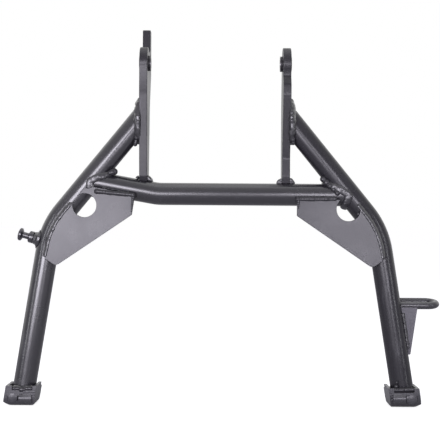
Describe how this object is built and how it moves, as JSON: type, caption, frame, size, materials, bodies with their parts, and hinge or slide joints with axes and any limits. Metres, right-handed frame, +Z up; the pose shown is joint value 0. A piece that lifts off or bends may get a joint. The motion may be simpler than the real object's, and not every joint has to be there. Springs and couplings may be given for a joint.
{
  "type": "centre stand",
  "caption": "Centre stand of a motorcycle: bent tube legs, cross tube, pivot plates with pivot tubes, gussets, pressed feet, spring peg and foot lever, welded and black coated.",
  "frame": {"origin": "The middle of the pivot axis, halfway between the two pivot plates", "axes": "+X along the pivot axis to the right in the picture, +Y to the rear of the motorcycle and away from the camera, +Z up with the stand down"},
  "size_m": [0.5171, 0.0733, 0.451],
  "materials": {
    "black_coat": "satin to semi-gloss black powder coat",
    "weld_coat": "the same black coat over weld beads",
    "bare_steel": "bare turned steel pivot tubes"
  },
  "bodies": {
    "root": {"left_leg": "black_coat", "right_leg": "black_coat", "cross_member": "black_coat", "left_pivot_plate": "black_coat", "right_pivot_plate": "black_coat", "left_pivot_tube": "bare_steel", "right_pivot_tube": "bare_steel", "left_gusset": "black_coat", "right_gusset": "black_coat", "left_foot": "black_coat", "right_foot": "black_coat", "peg": "black_coat", "peg_collar": "black_coat", "lever": "black_coat", "lever_bracket": "black_coat", "left_plate_leg_weld": "weld_coat", "right_plate_leg_weld": "weld_coat", "left_plate_seat_weld": "weld_coat", "right_plate_seat_weld": "weld_coat", "left_cross_weld": "weld_coat", "right_cross_weld": "weld_coat", "left_gusset_leg_weld": "weld_coat", "right_gusset_leg_weld": "weld_coat", "left_gusset_cross_weld": "weld_coat", "right_gusset_cross_weld": "weld_coat", "left_foot_weld": "weld_coat", "right_foot_weld": "weld_coat", "peg_weld": "weld_coat", "lever_bracket_weld": "weld_coat", "lever_bar_weld": "weld_coat"}
  },
  "joints": []
}
